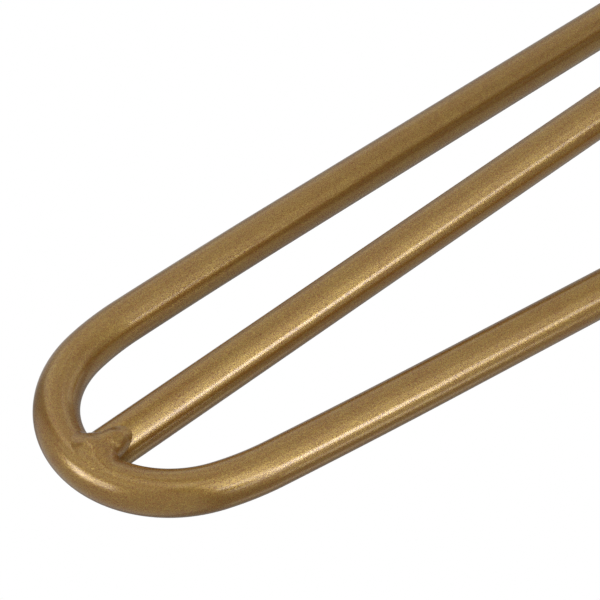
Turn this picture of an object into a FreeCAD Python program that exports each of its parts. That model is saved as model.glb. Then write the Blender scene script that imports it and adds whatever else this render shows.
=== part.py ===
import FreeCAD, Part
import math
import os

from FreeCAD import Matrix, Placement, Rotation
from FreeCAD import Vector as V

# Hairpin table leg: one long rod bent into a narrow U whose bend is the foot, a third
# straight rod that comes down onto the inside of the bend, and a flat screw plate that
# all three rod ends are welded under. It stands upright as it does under a table.
# Row frame: origin in the middle of the plate's top face, +Z up, the table above z = 0.
# X runs across the U, and the bent rod leans from the foot towards +Y.

# ---- driving dimensions (mm, degrees) ---------------------------------------------
HEIGHT = 406.0          # underside of the foot to the top face of the plate
ROD_D = 10.0            # all three rods

# the U, from its middle outwards: tight bend, shoulder, long easy lead-in, straight arm
BEND_R, BEND_A = 26.0, 73.0
SHOULDER_R, SHOULDER_A = 60.0, 12.0
LEAD_R, LEAD_A = 1840.0, 1.4
LEAN = 6.7              # the U's plane off the third rod, which is square to the plate

THIRD_CROSS = 10.0      # height above the bend's centre-line where the third rod crosses the U's plane
THIRD_SIDE = 1.8        # how far it lands to one side of the middle of the bend
THIRD_END = 4.0         # its cut end, above the bend's centre-line

PLATE_T = 4.0
PLATE_MARGIN = 11.0     # plate edge to rod centre, all round
PLATE_EASE = 0.6        # eased outer edges
HOLE_D = 5.5
BACK_PAIR = (60.0, 15.0)    # spacing of the two holes between the U's arms, and their Y
FRONT_PAIR = (48.0, -9.0)   # the two holes towards the third rod

PLATE_WELD_LEG = 3.2    # fillet round each rod under the plate
PLATE_WELD_UP = 3.6
FOOT_WELD_R = 6.9       # bead round the end of the third rod
FOOT_WELD_UP = 5.4
FOOT_WELD_OUT = 0.9     # fuller on the -Y side

# ---- derived values ---------------------------------------------------------------
R = ROD_D / 2
PLATE_UNDER = -PLATE_T
lean = math.radians(LEAN)
splay_up = math.radians(BEND_A + SHOULDER_A + LEAD_A)   # heading of a straight arm above +X

os.makedirs("parts", exist_ok=True)


def arc_end(p, heading, radius, angle):
    """End of an arc that turns left by angle from p in the XZ plane, with its mid-point and new heading."""
    c = (p[0] - radius * math.sin(heading), p[1] + radius * math.cos(heading))

    def at(h):
        return (c[0] + radius * math.sin(h), c[1] - radius * math.cos(h))

    return at(heading + angle / 2), at(heading + angle), heading + angle


# centre-line of the right-hand half of the U: origin at the bottom of the bend, z up its middle
points = [(0.0, 0.0)]
mids = []
heading = 0.0
for radius, degrees in ((BEND_R, BEND_A), (SHOULDER_R, SHOULDER_A), (LEAD_R, LEAD_A)):
    mid, end, heading = arc_end(points[-1], heading, radius, math.radians(degrees))
    mids.append(mid)
    points.append(end)
ARM_TOP = HEIGHT / math.cos(lean) + 10.0                # past the plate, then cut off
run = (ARM_TOP - points[-1][1]) / math.sin(heading)
points.append((points[-1][0] + run * math.cos(heading), ARM_TOP))


def on_u(p, side=1):
    return V(side * p[0], 0, p[1])


# heights and places in the U's own plane where the rods meet the plate's underside
u_height = (HEIGHT - R - PLATE_T) / math.cos(lean)
arm_x = points[3][0] + (u_height - points[3][1]) / math.tan(heading)
arm_y = u_height * math.sin(lean)
third_y = THIRD_CROSS * math.sin(lean)
SHIFT_Y = -(2 * arm_y + third_y) / 3                     # the rod ends' centroid is the origin
FOOT = V(0, SHIFT_Y, R - HEIGHT)                         # bottom of the bend's centre-line
PLACE = Placement(FOOT, Rotation(V(1, 0, 0), -LEAN))


def to_row(p):
    return PLACE.multVec(p)


def placed(shape):
    shape = shape.copy()
    shape.Placement = PLACE.multiply(shape.Placement)
    return shape


def below_plate(shape):
    """What is left of a shape under the plate."""
    slab = Part.makeBox(400, 400, 200, V(-200, -200, PLATE_UNDER))
    return shape.cut(slab)


def one_solid(shape, name):
    solids = shape.Solids
    assert len(solids) == 1, (name, len(solids))
    solid = solids[0]
    assert solid.isValid(), name
    return solid


# ---- bent rod: one length of round bar --------------------------------------------
edges = [Part.LineSegment(on_u(points[4], -1), on_u(points[3], -1)).toShape()]
for i in (2, 1, 0):
    edges.append(Part.Arc(on_u(points[i + 1], -1), on_u(mids[i], -1), on_u(points[i], -1)).toShape())
for i in (0, 1, 2):
    edges.append(Part.Arc(on_u(points[i]), on_u(mids[i]), on_u(points[i + 1])).toShape())
edges.append(Part.LineSegment(on_u(points[3]), on_u(points[4])).toShape())
path = Part.Wire(edges)
start = on_u(points[4], -1)
tangent = on_u(points[3], -1).sub(start)
profile = Part.Wire(Part.Circle(start, tangent, R).toShape())
swept = path.makePipeShell([profile], True, False)
bent_rod = one_solid(below_plate(placed(swept)), "bent_rod")

# ---- third rod: straight, saddle-cut where it lands inside the bend ---------------
third_low = to_row(V(THIRD_SIDE, 0, THIRD_CROSS))
third_top = V(0, third_low.y, PLATE_UNDER)
axis = third_top.sub(third_low)
axis.normalize()
end_drop = (THIRD_CROSS - THIRD_END)
third_start = third_low.sub(axis * end_drop)
length = third_top.sub(third_start).Length + 20
bar = Part.makeCylinder(R, length, third_start, axis)
third_rod = one_solid(below_plate(bar).cut(bent_rod), "third_rod")

# ---- plate: the outline is the three rod places with a margin round them -----------
arm_l = V(-arm_x, arm_y + SHIFT_Y, 0)
arm_r = V(arm_x, arm_y + SHIFT_Y, 0)
third_p = V(third_top.x, third_top.y, 0)
corners = [arm_l, third_p, arm_r]                        # anticlockwise seen from above
outline = []
for i, a in enumerate(corners):
    b = corners[(i + 1) % 3]
    c = corners[(i + 2) % 3]
    d = b.sub(a)
    d.normalize()
    out = V(d.y, -d.x, 0)
    e = c.sub(b)
    e.normalize()
    out2 = V(e.y, -e.x, 0)
    bis = out.add(out2)
    bis.normalize()
    outline.append(Part.LineSegment(a + out * PLATE_MARGIN, b + out * PLATE_MARGIN).toShape())
    outline.append(Part.Arc(b + out * PLATE_MARGIN, b + bis * PLATE_MARGIN, b + out2 * PLATE_MARGIN).toShape())
plate = Part.Face(Part.Wire(outline)).extrude(V(0, 0, -PLATE_T))
rim = [e for e in plate.Edges if abs(e.Vertexes[0].Z - e.Vertexes[-1].Z) < 1e-6]
plate = plate.makeFillet(PLATE_EASE, rim)
for spacing, y in (BACK_PAIR, FRONT_PAIR):
    for x in (-spacing / 2, spacing / 2):
        plate = plate.cut(Part.makeCylinder(HOLE_D / 2, PLATE_T + 2, V(x, y, 1), V(0, 0, -1)))
top_plate = one_solid(plate, "top_plate")


# ---- fillet welds round the rods under the plate -----------------------------------
def plate_weld(foot_point, top_point, rods, name):
    """A ring of triangular section with a slightly hollow face, on the rod's own axis, cut flat by the plate."""
    a = top_point.sub(foot_point)
    a.normalize()
    low = -PLATE_WELD_UP
    outer = R + PLATE_WELD_LEG
    ring = Part.Wire([
        Part.LineSegment(V(R - 0.5, 0, low), V(R, 0, low)).toShape(),
        Part.Arc(V(R, 0, low), V(R + 0.36 * PLATE_WELD_LEG, 0, 0.36 * low), V(outer, 0, 0)).toShape(),
        Part.LineSegment(V(outer, 0, 0), V(outer, 0, 2.0)).toShape(),
        Part.LineSegment(V(outer, 0, 2.0), V(R - 0.5, 0, 2.0)).toShape(),
        Part.LineSegment(V(R - 0.5, 0, 2.0), V(R - 0.5, 0, low)).toShape(),
    ])
    solid = Part.Face(ring).revolve(V(0, 0, 0), V(0, 0, 1), 360)
    solid.Placement = Placement(top_point, Rotation(V(0, 0, 1), a))
    solid = below_plate(solid)
    for rod in rods:
        solid = solid.cut(rod)
    return one_solid(solid, name)


left_foot = to_row(on_u(points[3], -1))
right_foot = to_row(on_u(points[3]))
left_top = V(arm_l.x, arm_l.y, PLATE_UNDER)
right_top = V(arm_r.x, arm_r.y, PLATE_UNDER)
plate_weld_left = plate_weld(left_foot, left_top, [bent_rod], "plate_weld_left")
plate_weld_right = plate_weld(right_foot, right_top, [bent_rod], "plate_weld_right")
plate_weld_third = plate_weld(third_low, third_top, [third_rod], "plate_weld_third")

# ---- bead where the third rod meets the bend ----------------------------------------
bead_at = third_low.sub(axis * (THIRD_CROSS - FOOT_WELD_UP)) + V(0, -FOOT_WELD_OUT, 0)
bead = Part.makeSphere(FOOT_WELD_R, bead_at)
foot_weld = one_solid(bead.cut(bent_rod).cut(third_rod), "foot_weld")

nodes = {
    "bent_rod": bent_rod,
    "third_rod": third_rod,
    "top_plate": top_plate,
    "foot_weld": foot_weld,
    "plate_weld_left": plate_weld_left,
    "plate_weld_right": plate_weld_right,
    "plate_weld_third": plate_weld_third,
}
for name, solid in nodes.items():
    solid.exportStep("parts/" + name + ".step")
    box = solid.BoundBox
    print("%-17s volume %9.1f  x %7.2f %7.2f  y %7.2f %7.2f  z %8.2f %8.2f" % (
        name, solid.Volume, box.XMin, box.XMax, box.YMin, box.YMax, box.ZMin, box.ZMax))
print("foot centre-line point", FOOT, " arms at plate +-%.3f, %.3f" % (arm_x, arm_l.y),
      " third rod at plate %.3f, %.3f" % (third_top.x, third_top.y))
print("straight arm off the middle line: %.2f degrees" % (90 - math.degrees(heading)))
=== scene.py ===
import math

import bpy
import numpy as np
from mathutils import Matrix, Vector


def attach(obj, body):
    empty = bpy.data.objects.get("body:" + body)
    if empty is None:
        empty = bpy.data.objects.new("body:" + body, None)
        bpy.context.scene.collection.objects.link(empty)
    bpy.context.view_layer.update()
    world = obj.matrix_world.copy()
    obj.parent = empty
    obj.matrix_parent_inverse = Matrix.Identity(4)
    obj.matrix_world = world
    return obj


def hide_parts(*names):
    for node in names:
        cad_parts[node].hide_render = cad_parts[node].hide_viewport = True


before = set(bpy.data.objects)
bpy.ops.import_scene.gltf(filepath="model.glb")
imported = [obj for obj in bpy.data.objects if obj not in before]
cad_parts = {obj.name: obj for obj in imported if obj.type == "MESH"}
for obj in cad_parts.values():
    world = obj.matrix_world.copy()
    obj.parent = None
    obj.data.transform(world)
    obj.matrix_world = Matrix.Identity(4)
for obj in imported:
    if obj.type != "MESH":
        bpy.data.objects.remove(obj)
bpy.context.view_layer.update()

# ---------------------------------------------------------------- sizes, metres
ROD_R = 0.005
BEND_R, BEND_A = 0.026, math.radians(73.0)
SHOULDER_R, SHOULDER_A = 0.060, math.radians(12.0)
LEAD_R, LEAD_A = 1.840, math.radians(1.4)
LEAN = math.radians(6.7)
HEIGHT = 0.406
PLATE_UNDER = -0.004
THIRD_CROSS, THIRD_SIDE, THIRD_END = 0.010, 0.0018, 0.004

# the U's own frame: origin at the bottom of the bend's centre-line, z up the middle of the U
U_HEIGHT = (HEIGHT - ROD_R + PLATE_UNDER) / math.cos(LEAN)
ROT = np.array([[1, 0, 0],
                [0, math.cos(LEAN), math.sin(LEAN)],
                [0, -math.sin(LEAN), math.cos(LEAN)]])
SHIFT_Y = -(2 * U_HEIGHT * math.sin(LEAN) + THIRD_CROSS * math.sin(LEAN)) / 3
FOOT = np.array([0, SHIFT_Y, ROD_R - HEIGHT])


def to_row(p):
    return np.asarray(p, float) @ ROT.T + FOOT


def to_u(p):
    return (np.asarray(p, float) - FOOT) @ ROT


third_low = to_row([THIRD_SIDE, 0, THIRD_CROSS])
third_top = np.array([0, third_low[1], PLATE_UNDER])
third_axis = (third_top - third_low) / np.linalg.norm(third_top - third_low)

rng = np.random.default_rng(7)


# ---------------------------------------------------------------- smooth value noise in numpy
def lattice(seed, n=32):
    return np.random.default_rng(seed).random((n, n, n)) * 2 - 1


def noise3(p, scale, table):
    """Smooth noise in -1..1 at points p (metres), with features about 1/scale across."""
    n = table.shape[0]
    q = np.asarray(p) * scale + 100.37
    i = np.floor(q).astype(int)
    f = q - i
    f = f * f * f * (f * (f * 6 - 15) + 10)
    out = 0
    for dx in (0, 1):
        for dy in (0, 1):
            for dz in (0, 1):
                w = ((f[..., 0] if dx else 1 - f[..., 0])
                     * (f[..., 1] if dy else 1 - f[..., 1])
                     * (f[..., 2] if dz else 1 - f[..., 2]))
                out = out + w * table[(i[..., 0] + dx) % n, (i[..., 1] + dy) % n, (i[..., 2] + dz) % n]
    return out


T1, T2, T3 = lattice(11), lattice(12), lattice(13)


# ---------------------------------------------------------------- meshes
def make_object(name, verts, faces, smooth=True):
    mesh = bpy.data.meshes.new(name)
    mesh.from_pydata([tuple(map(float, v)) for v in verts], [], [tuple(map(int, f)) for f in faces])
    mesh.validate()
    mesh.update()
    if smooth:
        mesh.polygons.foreach_set("use_smooth", [True] * len(mesh.polygons))
    obj = bpy.data.objects.new(name, mesh)
    bpy.context.scene.collection.objects.link(obj)
    return obj


def tube_faces(rings, segs):
    i = np.arange(rings - 1)[:, None] * segs
    j = np.arange(segs)[None]
    k = (np.arange(segs)[None] + 1) % segs
    return np.stack([i + j, i + k, i + segs + k, i + segs + j], -1).reshape(-1, 4)


def u_half(step_bend=0.0006, step_arm=0.006):
    """Centre-line points and headings of the right half of the U, from the middle of the bend to the plate."""
    pts, heads = [(0.0, 0.0)], [0.0]
    x = z = h = 0.0
    for radius, angle, step in ((BEND_R, BEND_A, step_bend), (SHOULDER_R, SHOULDER_A, step_bend * 1.5), (LEAD_R, LEAD_A, step_arm / 2)):
        n = max(3, int(math.ceil(radius * angle / step)))
        for k in range(1, n + 1):
            a = angle * k / n
            pts.append((x + radius * (math.sin(h + a) - math.sin(h)), z - radius * (math.cos(h + a) - math.cos(h))))
            heads.append(h + a)
        x, z = pts[-1]
        h += angle
    run = (U_HEIGHT - z) / math.sin(h)
    n = int(math.ceil(run / step_arm))
    for k in range(1, n + 1):
        pts.append((x + run * k / n * math.cos(h), z + run * k / n * math.sin(h)))
        heads.append(h)
    return np.array(pts), np.array(heads)


def build_bent_rod(segs=96):
    pts, heads = u_half()
    rp = np.vstack([np.c_[-pts[::-1, 0], pts[::-1, 1]], pts[1:]])
    rh = np.r_[-heads[::-1], heads[1:]]          # heading of the tangent going left to right
    a = np.arange(segs) * 2 * math.pi / segs
    rings = []
    for (x, z), h in zip(rp, rh):
        normal = np.array([-math.sin(h), 0, math.cos(h)])
        side = np.array([0, -1, 0])
        rings.append(np.array([x, 0, z]) + ROD_R * (np.cos(a)[:, None] * side + np.sin(a)[:, None] * normal))
    v = to_row(np.array(rings))
    for end, h in ((0, rh[0]), (-1, rh[-1])):    # both ends cut flat against the plate
        t = np.array([math.cos(h), 0, math.sin(h)]) @ ROT.T
        v[end] += t * ((PLATE_UNDER - v[end][:, 2]) / t[2])[:, None]
    n = len(rp)
    verts = v.reshape(-1, 3)
    faces = tube_faces(n, segs).tolist()
    faces.append(list(range(segs))[::-1])
    faces.append([(n - 1) * segs + j for j in range(segs)])
    return make_object("bent_rod_bar", verts, [f[::-1] for f in faces])


def bend_top(q):
    """Height of the bend's upper surface over points of the U's frame, or -1 where the bend isn't under them."""
    x, y = q[..., 0], q[..., 1]
    inner = np.sqrt(np.maximum(ROD_R ** 2 - y ** 2, 0))
    rho = BEND_R - inner
    z = BEND_R - np.sqrt(np.maximum(rho ** 2 - x ** 2, 0))
    return np.where(np.abs(y) < ROD_R, z, -1)


def build_third_rod(segs=96):
    a = np.arange(segs) * 2 * math.pi / segs
    e1 = np.cross(third_axis, [0, 1, 0]); e1 /= np.linalg.norm(e1)
    e2 = np.cross(third_axis, e1)
    ring = ROD_R * (np.cos(a)[:, None] * e1 + np.sin(a)[:, None] * e2)
    low = -(THIRD_CROSS - THIRD_END)
    # the saddle cut: each line of the bar stops at the bend, or at the square end
    start = np.full(segs, low)
    for _ in range(12):
        q = to_u(third_low + start[:, None] * third_axis + ring)
        start = start + np.maximum(bend_top(q) - q[:, 2], 0) * 0.7
    ease = 0.00035
    levels = [(0.0, ROD_R - ease), (ease * 0.3, ROD_R - ease * 0.3), (ease, ROD_R)]
    rows = []
    for rise, radius in levels:
        rows.append(third_low + (start + rise)[:, None] * third_axis + ring * (radius / ROD_R))
    top_run = np.linalg.norm(third_top - third_low)
    heights = np.r_[np.linspace(0.0, 0.012, 12), np.linspace(0.012, top_run, 64)[1:]]
    for h in heights:
        rows.append(third_low + h * third_axis + ring)
    rows = np.array(rows)
    rows[-1] += third_axis * ((PLATE_UNDER - rows[-1][:, 2]) / third_axis[2])[:, None]
    n = len(rows)
    verts = rows.reshape(-1, 3)
    centre = third_low + low * third_axis
    # the end face, under the bead
    q = to_u(centre)
    verts = np.vstack([verts, [third_low + max(low, low + bend_top(q) - q[2]) * third_axis]])
    faces = tube_faces(n, segs).tolist()
    faces += [[(j + 1) % segs, j, n * segs] for j in range(segs)]
    faces.append([(n - 1) * segs + j for j in range(segs)])
    return make_object("third_rod_bar", verts, faces)


# ---------------------------------------------------------------- the foot weld: an implicit surface
def sd_bend(q):
    x, y, z = q[..., 0], q[..., 1], q[..., 2]
    return np.hypot(np.hypot(x, z - BEND_R) - BEND_R, y) - ROD_R


LOW_U = to_u(third_low)
AXIS_U = third_axis @ ROT


def sd_third(q, r=ROD_R):
    w = q - LOW_U
    h = w @ AXIS_U
    return np.linalg.norm(w - h[..., None] * AXIS_U, axis=-1) - r


def smin(a, b, k):
    h = np.maximum(k - np.abs(a - b), 0) / k
    return np.minimum(a, b) - h * h * h * k / 6


def ellipsoid(q, centre, radii, turn=0.0):
    """Turned about z by turn radians."""
    w = q - np.array(centre)
    c, s = math.cos(turn), math.sin(turn)
    w = np.stack([w[..., 0] * c + w[..., 1] * s, -w[..., 0] * s + w[..., 1] * c, w[..., 2]], -1)
    r = np.array(radii)
    k0 = np.linalg.norm(w / r, axis=-1)
    k1 = np.linalg.norm(w / (r * r), axis=-1)
    return k0 * (k0 - 1) / np.maximum(k1, 1e-9)


MM = 0.001


def weld_field(q):
    """Signed distance, roughly, to the bead: below zero inside it. q in the U's frame."""
    bend, third = sd_bend(q), sd_third(q)
    rods = np.minimum(bend, third)
    # a tongue up the front of the third rod, the body of the bead over the bend, its skirt and a small run behind
    tongue = ellipsoid(q, (3.6 * MM, -2.9 * MM, 6.5 * MM), (3.1 * MM, 3.1 * MM, 4.7 * MM), 0.38)
    root = ellipsoid(q, (3.3 * MM, -2.3 * MM, 2.8 * MM), (5.3 * MM, 3.75 * MM, 3.5 * MM), 0.06)
    back = ellipsoid(q, (1.8 * MM, 3.0 * MM, 4.4 * MM), (4.2 * MM, 2.5 * MM, 2.5 * MM), 0.0)
    skirt = ellipsoid(q, (5.0 * MM, -2.3 * MM, 1.7 * MM), (6.4 * MM, 3.3 * MM, 3.2 * MM), 0.0)
    front = smin(smin(tongue, root, 2.6 * MM), skirt, 2.6 * MM)
    lumps = (0.15 * noise3(q, 380, T1) + 0.06 * noise3(q, 760, T2) + 0.012 * noise3(q, 2200, T3)) * MM
    core = np.minimum(front, back) + lumps
    # the toe: a tight edge on the third rod, a wide soft one on the bend, sinking under the bars further away
    low = np.clip((7.5 * MM - q[..., 2]) / (5.0 * MM), 0, 1)
    low = low * low * (3 - 2 * low)
    high = np.clip((q[..., 2] - 7.5 * MM) / (2.5 * MM), 0, 1) * np.clip((6.2 * MM - q[..., 0]) / (2.0 * MM), 0, 1)
    left = np.clip((2.0 * MM - q[..., 0]) / (3.0 * MM), 0, 1)
    width = (0.6 + 1.5 * low + 1.2 * high + 0.9 * low * left) * MM
    near = np.clip(core / (0.9 * width), 0, 1)
    near = near * near * (3 - 2 * near)
    sunk = rods + (0.03 + 0.5 * near) * MM
    outer = smin(core, sunk, width)
    # cut off bluntly inside the bars, so that the bead is one solid without a thin edge
    return np.maximum(outer, smin(front, back, 2.0 * MM) + lumps - 0.62 * width)


def surface_nets(f, origin, h):
    """Closed surface of f = 0 on a grid, as vertices and quads that face outwards (towards f > 0)."""
    nx, ny, nz = f.shape
    neg = f < 0
    acc = np.zeros((nx - 1, ny - 1, nz - 1, 3))
    cnt = np.zeros((nx - 1, ny - 1, nz - 1))
    corners = [(i, j, k) for i in (0, 1) for j in (0, 1) for k in (0, 1)]

    def at(arr, c):
        return arr[c[0]:nx - 1 + c[0], c[1]:ny - 1 + c[1], c[2]:nz - 1 + c[2]]

    for a in corners:
        for ax in range(3):
            if a[ax]:
                continue
            b = tuple(c + (1 if i == ax else 0) for i, c in enumerate(a))
            m = at(neg, a) != at(neg, b)
            fa, fb = at(f, a)[m], at(f, b)[m]
            t = fa / (fa - fb)
            pos = np.tile(np.array(a, float), (len(t), 1))
            pos[:, ax] += t
            acc[m] += pos
            cnt[m] += 1
    used = cnt > 0
    idx = np.full(used.shape, -1)
    idx[used] = np.arange(used.sum())
    cells = np.argwhere(used)
    verts = origin + h * (cells + acc[used] / cnt[used][:, None])
    quads = []
    for ax in range(3):
        o = [i for i in range(3) if i != ax]
        sl_a = [slice(None)] * 3
        sl_b = [slice(None)] * 3
        sl_a[ax] = slice(0, -1)
        sl_b[ax] = slice(1, None)
        change = neg[tuple(sl_a)] != neg[tuple(sl_b)]
        pts = np.argwhere(change)
        keep = (pts[:, o[0]] > 0) & (pts[:, o[1]] > 0) & (pts[:, o[0]] < f.shape[o[0]] - 1) & (pts[:, o[1]] < f.shape[o[1]] - 1)
        pts = pts[keep]
        inside_first = neg[tuple(pts.T)]

        def cell(d0, d1):
            c = pts.copy()
            c[:, o[0]] += d0
            c[:, o[1]] += d1
            return idx[tuple(c.T)]

        quad = np.stack([cell(-1, -1), cell(0, -1), cell(0, 0), cell(-1, 0)], -1)
        flip = inside_first if ax != 1 else ~inside_first
        quad = np.where(flip[:, None], quad, quad[:, ::-1])
        quads.append(quad)
    return verts, np.vstack(quads)


def build_foot_weld(h=0.00016):
    lo = np.array([-9.5, -9.0, -4.6]) * MM
    hi = np.array([13.8, 8.5, 14.0]) * MM
    n = np.ceil((hi - lo) / h).astype(int) + 1
    g = np.stack(np.meshgrid(*[lo[i] + h * np.arange(n[i]) for i in range(3)], indexing="ij"), -1)
    f = weld_field(g)
    v, q = surface_nets(f, lo, h)
    # settle the points on the surface itself
    for _ in range(3):
        e = 0.00003
        grad = np.stack([(weld_field(v + d) - weld_field(v - d)) / (2 * e) for d in np.eye(3) * e], -1)
        g2 = np.maximum((grad ** 2).sum(-1), 0.2)
        v = v - np.clip(weld_field(v) / g2, -h * 0.4, h * 0.4)[:, None] * grad
    return make_object("foot_weld_bead", to_row(v), q)


# ---------------------------------------------------------------- fillet welds under the plate
def build_plate_weld(name, top, axis, seed, segs=220, across=18):
    """A run of weld round a rod: a slightly full fillet with faint ripples, its start and stop overlapping on one side."""
    axis = axis / np.linalg.norm(axis)
    local = np.random.default_rng(seed)
    begin = local.random() * 2 * math.pi
    verts = []
    a = np.arange(segs) * 2 * math.pi / segs
    e1 = np.cross(axis, [0, 1, 0]); e1 /= np.linalg.norm(e1)
    e2 = np.cross(axis, e1)
    turn = (a - begin) % (2 * math.pi)
    stop = np.exp(-((np.minimum(turn, 2 * math.pi - turn)) / 0.16) ** 2)
    leg = 0.0031 + 0.00022 * np.sin(a * 2 + local.random() * 6) + 0.00016 * np.sin(a * 5 + local.random() * 6) + 0.00028 * stop
    up = 0.0034 + 0.00018 * np.sin(a * 3 + local.random() * 6) + 0.00022 * stop
    profile = []
    for k in range(across + 1):
        t = k / across
        # from the toe on the rod to the toe on the plate
        x = leg * (1 - np.cos(t * math.pi / 2)) ** 1.0
        z = up * (1 - np.sin(t * math.pi / 2)) ** 1.0
        hollow = 0.5
        xs = leg * t
        zs = up * (1 - t)
        x = hollow * x + (1 - hollow) * xs
        z = hollow * z + (1 - hollow) * zs
        ripple = 0.00009 * np.sin(turn * 34 + 1.1 * math.sin(t * math.pi)) * math.sin(t * math.pi) ** 0.7
        full = (0.00030 + 0.00055 * stop) * math.sin(t * math.pi) + ripple
        x = x + full * 0.72
        z = z + full * 0.72
        profile.append((x, z))
    rows = []
    for x, z in profile:
        p = top - axis * 0 + np.outer(np.cos(a) * (ROD_R + x), e1) + np.outer(np.sin(a) * (ROD_R + x), e2)
        # down from the plate's underside along the rod
        p = p + axis * ((PLATE_UNDER - p[:, 2]) / axis[2])[:, None]
        p = p - axis * z[:, None]
        rows.append(p)
    # closed back: a hair inside the rod and against the plate
    inner = 0.0003
    corner = top + np.outer(np.cos(a) * (ROD_R - inner), e1) + np.outer(np.sin(a) * (ROD_R - inner), e2)
    corner = corner + axis * ((PLATE_UNDER - corner[:, 2]) / axis[2])[:, None]
    toe = rows[0] - (rows[0] - (top + ((rows[0] - top) @ axis)[:, None] * axis)) * (inner / ROD_R)
    rows = [toe] + rows + [corner]
    rows = np.array(rows)
    n = len(rows)
    verts = rows.reshape(-1, 3)
    faces = tube_faces(n, segs).tolist()
    faces += [[(n - 1) * segs + j, (n - 1) * segs + (j + 1) % segs, (j + 1) % segs, j] for j in range(segs)]
    obj = make_object(name, verts, faces)
    fix_normals(obj)
    return obj


def fix_normals(obj):
    import bmesh
    bm = bmesh.new()
    bm.from_mesh(obj.data)
    bmesh.ops.recalc_face_normals(bm, faces=bm.faces)
    bm.to_mesh(obj.data)
    bm.free()


# ---------------------------------------------------------------- material
def powder_coat(name, peel_depth=1.0):
    """Antique gold powder coat: brass flakes, each a cell with its own tilt, in a brown binder under a clear skin."""
    m = bpy.data.materials.new(name)
    m.use_nodes = True
    nt = m.node_tree
    nt.nodes.clear()
    N, L = nt.nodes.new, nt.links.new
    out = N("ShaderNodeOutputMaterial")
    bsdf = N("ShaderNodeBsdfPrincipled")
    L(bsdf.outputs["BSDF"], out.inputs["Surface"])
    coord = N("ShaderNodeTexCoord")

    def noise(scale, detail, rough=0.5):
        n = N("ShaderNodeTexNoise")
        n.inputs["Scale"].default_value = scale
        n.inputs["Detail"].default_value = detail
        n.inputs["Roughness"].default_value = rough
        L(coord.outputs["Object"], n.inputs["Vector"])
        return n

    def span(value, from_min, from_max, to_min, to_max):
        r = N("ShaderNodeMapRange")
        r.inputs["From Min"].default_value = from_min
        r.inputs["From Max"].default_value = from_max
        r.inputs["To Min"].default_value = to_min
        r.inputs["To Max"].default_value = to_max
        L(value, r.inputs["Value"])
        return r.outputs["Result"]

    def blend(kind, factor, a, b):
        n = N("ShaderNodeMix")
        n.data_type = "RGBA"
        n.blend_type = kind
        for socket, value in (("Factor", factor), ("A", a), ("B", b)):
            if isinstance(value, (tuple, float)):
                n.inputs[socket].default_value = value
            else:
                L(value, n.inputs[socket])
        return n.outputs["Result"]

    def cells(scale):
        n = N("ShaderNodeTexVoronoi")
        n.feature = "F1"
        n.inputs["Scale"].default_value = scale
        L(coord.outputs["Object"], n.inputs["Vector"])
        p = N("ShaderNodeSeparateColor")
        L(n.outputs["Color"], p.inputs["Color"])
        return n.outputs["Color"], p.outputs

    # single flakes, too fine to tell apart, and the clumps of them that show as grain
    flake, one = cells(FLAKES)
    clump, many = cells(CLUMPS)
    flow = noise(150.0, 3.0, 0.55)
    grain = noise(2400.0, 2.0, 0.55)

    # how much brass shows, a little more here and less there as the spray settled
    lay = N("ShaderNodeMath")
    lay.operation = "ADD"
    L(one["Red"], lay.inputs[0])
    L(span(flow.outputs["Fac"], 0.3, 0.7, -0.06, 0.06), lay.inputs[1])
    brass = span(lay.outputs[0], 0.22, 0.78, 0.04, 0.96)
    shade = blend("MIX", one["Green"], BRASS_DEEP, BRASS_PALE)
    body = blend("MIX", brass, BINDER, shade)
    light = N("ShaderNodeMath")
    light.operation = "ADD"
    L(span(many["Green"], 0.0, 1.0, 1.0 - GRAIN, 1.0 + GRAIN), light.inputs[0])
    L(span(grain.outputs["Fac"], 0.3, 0.7, -GRAIN, GRAIN), light.inputs[1])
    tone = N("ShaderNodeVectorMath")
    tone.operation = "SCALE"
    L(body, tone.inputs[0])
    L(light.outputs[0], tone.inputs["Scale"])
    L(tone.outputs["Vector"], bsdf.inputs["Base Color"])
    L(brass, bsdf.inputs["Metallic"])
    L(span(one["Blue"], 0.0, 1.0, ROUGH - 0.05, ROUGH + 0.05), bsdf.inputs["Roughness"])
    bsdf.inputs["Specular IOR Level"].default_value = 0.0
    bsdf.inputs["Coat Weight"].default_value = 1.0
    bsdf.inputs["Coat Roughness"].default_value = SKIN
    bsdf.inputs["Coat IOR"].default_value = 1.5

    # orange peel on the clear skin, and each flake tilted under it
    peel = noise(700.0, 2.0, 0.5)
    skin = N("ShaderNodeBump")
    skin.inputs["Strength"].default_value = 1.0
    skin.inputs["Distance"].default_value = PEEL * peel_depth
    L(peel.outputs["Fac"], skin.inputs["Height"])
    L(skin.outputs["Normal"], bsdf.inputs["Coat Normal"])
    lean = N("ShaderNodeVectorMath")
    lean.operation = "MULTIPLY_ADD"
    L(clump, lean.inputs[0])
    lean.inputs[1].default_value = (TILT, TILT, TILT)
    lean.inputs[2].default_value = (-TILT / 2, -TILT / 2, -TILT / 2)
    tilt = N("ShaderNodeVectorMath")
    tilt.operation = "ADD"
    L(skin.outputs["Normal"], tilt.inputs[0])
    L(lean.outputs["Vector"], tilt.inputs[1])
    unit = N("ShaderNodeVectorMath")
    unit.operation = "NORMALIZE"
    L(tilt.outputs["Vector"], unit.inputs[0])
    L(unit.outputs["Vector"], bsdf.inputs["Normal"])
    return m


FLAKES, CLUMPS, GRAIN = 20000.0, 4300.0, 0.095
BRASS_DEEP = (0.410, 0.285, 0.053, 1)
BRASS_PALE = (0.563, 0.405, 0.086, 1)
BINDER = (0.145, 0.011, 0.001, 1)
ROUGH, SKIN = 0.31, 0.180
PEEL, TILT = 0.0000060, 0.042

coat = powder_coat("powder_coat_gold")
coat_weld = powder_coat("powder_coat_gold_weld", 1.6)


def dress(obj, material):
    obj.data.materials.clear()
    obj.data.materials.append(material)


# ---------------------------------------------------------------- pieces
bent = build_bent_rod()
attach(bent, "root"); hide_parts("bent_rod"); dress(bent, coat)

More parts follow.
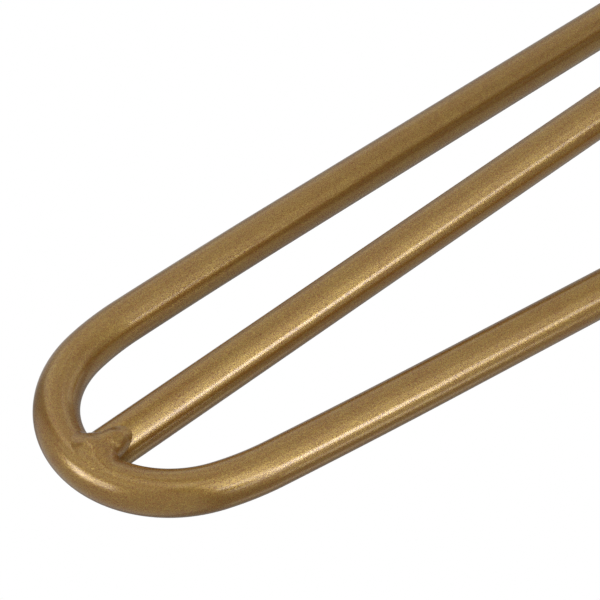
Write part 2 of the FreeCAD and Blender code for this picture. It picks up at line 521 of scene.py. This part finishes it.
third = build_third_rod()
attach(third, "root"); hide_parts("third_rod"); dress(third, coat)

weld = build_foot_weld()
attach(weld, "root"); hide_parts("foot_weld"); dress(weld, coat_weld)

u_end = np.array([*u_half()[0][-1]])
head = u_half()[1][-1]
for side, name in ((-1, "left"), (1, "right")):
    top = to_row([side * u_end[0], 0, u_end[1]])
    axis = np.array([side * math.cos(head), 0, math.sin(head)]) @ ROT.T
    piece = build_plate_weld("plate_weld_%s_run" % name, top, axis, 20 + side)
    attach(piece, "root"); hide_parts("plate_weld_" + name); dress(piece, coat_weld)
piece = build_plate_weld("plate_weld_third_run", third_top, third_axis, 31)
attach(piece, "root"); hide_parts("plate_weld_third"); dress(piece, coat_weld)

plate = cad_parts["top_plate"]
for i in range(len(plate.material_slots)):
    plate.material_slots[i].material = coat

# ---------------------------------------------------------------- floor, light, camera
bpy.ops.mesh.primitive_plane_add(size=12, location=(0, 0, -HEIGHT - 0.30))
floor = bpy.context.object
floor.name = "studio_floor"
fm = bpy.data.materials.new("studio_floor_paint")
fm.use_nodes = True
fb = fm.node_tree.nodes["Principled BSDF"]
fb.inputs["Base Color"].default_value = (0.86, 0.86, 0.86, 1)
fb.inputs["Roughness"].default_value = 0.9
floor.data.materials.append(fm)
# the floor keeps its own even light, and the object sees the room's grey in its place
floor.visible_diffuse = False
floor.visible_glossy = False
only_floor = bpy.data.collections.new("only_floor")
only_floor.objects.link(floor)
wash = bpy.data.objects.new("floor_wash", bpy.data.lights.new("floor_wash", "SUN"))
wash.data.energy = 1.7
wash.data.angle = math.radians(60)
wash.location = (0, 0, 1)
wash.light_linking.receiver_collection = only_floor
bpy.context.scene.collection.objects.link(wash)

AIM = Vector((0.0, -0.03, -0.36))        # the middle of what the lamps are aimed at
BEND = Vector((0.0, -0.03, -0.40))
FAR = 1.6


def softbox(name, azimuth, elevation, width, height, power, far=FAR, aim=AIM, color=(1, 1, 1)):
    """A rectangular lamp far away from aim towards azimuth and elevation, width and height degrees across, facing it."""
    az, el = math.radians(azimuth), math.radians(elevation)
    away = Vector((math.cos(el) * math.cos(az), math.cos(el) * math.sin(az), math.sin(el)))
    lamp = bpy.data.lights.new(name, "AREA")
    lamp.shape = "RECTANGLE"
    lamp.size = 2 * far * math.tan(math.radians(width / 2))
    lamp.size_y = 2 * far * math.tan(math.radians(height / 2))
    lamp.energy = power
    lamp.color = color
    obj = bpy.data.objects.new(name, lamp)
    obj.location = aim + away * far
    obj.rotation_euler = away.to_track_quat("Z", "Y").to_euler()
    obj.visible_camera = False
    bpy.context.scene.collection.objects.link(obj)
    return obj


# azimuth, elevation, width and height in degrees, and power in watts
LAMPS = [
    # the key, low on the right, stepped so that it fades upwards and outwards: it draws the streaks
    (341, 18, 13, 9, 2.65),
    (336, 27, 12, 9, 1.15),
    (341, 9, 13, 9, 0.75),
    (329, 5, 11, 20, 2.20),
    (352, 5, 9, 20, 0.90),
    (310, 5, 26, 20, 2.69),
    (310, 25, 26, 20, 1.47),
    # its edge towards the back, and two dim strips behind the object
    (20, 17, 12, 12, 0.69),
    (5, 10, 14, 30, 0.41),
    (62, 8, 16, 24, 0.44),
    (160, 8, 60, 24, 0.87),
    # a broad fill on the left
    (285, 5, 24, 20, 0.91),
    (285, 25, 24, 20, 0.79),
    (255, 25, 36, 20, 0.89),
    (255, 1, 50, 16, 1.60),
    (215, 5, 44, 20, 1.48),
    (215, 25, 44, 20, 1.00),
    (230, 47, 44, 22, 0.94),
    (290, 47, 50, 22, 0.57),
    # and from above
    (60, 38, 60, 30, 0.93),
    (180, 38, 56, 36, 0.95),
    (270, 68, 60, 26, 1.56),
    (0, 89, 36, 36, 1.38),
]
COOL = (0.87, 0.91, 1.18)               # the key is a little cooler than the rest
for i, values in enumerate(LAMPS):
    softbox("softbox_%02d" % i, *values, color=COOL if i < 5 else (1, 1, 1))
# three small ones close to the bend, in front of it and under it
softbox("softbox_front", 257, -19, 60, 28, 0.28, far=0.60)
softbox("softbox_low_left", 233, -51, 14, 20, 0.07, far=0.29, aim=BEND, color=COOL)
softbox("softbox_low_front", 254, -56, 30, 22, 0.15, far=0.29, aim=BEND, color=COOL)
# and a broad dim one that stands for the light off the floor
softbox("softbox_under", 270, -89.9, 138, 138, 2.3, far=0.29, aim=BEND)

# the camera sees a plain white backdrop, the object a dim room between the lamps
ROOM = 0.25
world = bpy.data.worlds.new("studio")
bpy.context.scene.world = world
world.use_nodes = True
wt = world.node_tree
wt.nodes.clear()
wo = wt.nodes.new("ShaderNodeOutputWorld")
seen = wt.nodes.new("ShaderNodeBackground")
room = wt.nodes.new("ShaderNodeBackground")
path = wt.nodes.new("ShaderNodeLightPath")
pick = wt.nodes.new("ShaderNodeMixShader")
seen.inputs["Color"].default_value = (1, 1, 1, 1)
seen.inputs["Strength"].default_value = 1.0
room.inputs["Color"].default_value = (1, 1, 1, 1)
room.inputs["Strength"].default_value = ROOM
wt.links.new(path.outputs["Is Camera Ray"], pick.inputs["Fac"])
wt.links.new(room.outputs["Background"], pick.inputs[1])
wt.links.new(seen.outputs["Background"], pick.inputs[2])
wt.links.new(pick.outputs["Shader"], wo.inputs["Surface"])


CAM_LOC = Vector((0.29639505, -0.40142611, -0.50384548))
CAM_M = Matrix(((0.60487267, -0.53089768, 0.59352903),
                (0.14219009, -0.66135406, -0.73647321),
                (0.78352475, 0.52986646, -0.32454661)))
cam = bpy.data.cameras.new("camera")
cam.sensor_width = 36.0
cam.lens = 140.0616
cam.clip_start = 0.01
cam_obj = bpy.data.objects.new("camera", cam)
cam_obj.matrix_world = Matrix.Translation(CAM_LOC) @ CAM_M.to_4x4()
bpy.context.scene.collection.objects.link(cam_obj)
bpy.context.scene.camera = cam_obj
bpy.context.scene.view_settings.view_transform = "Standard"
bpy.context.scene.view_settings.look = "None"
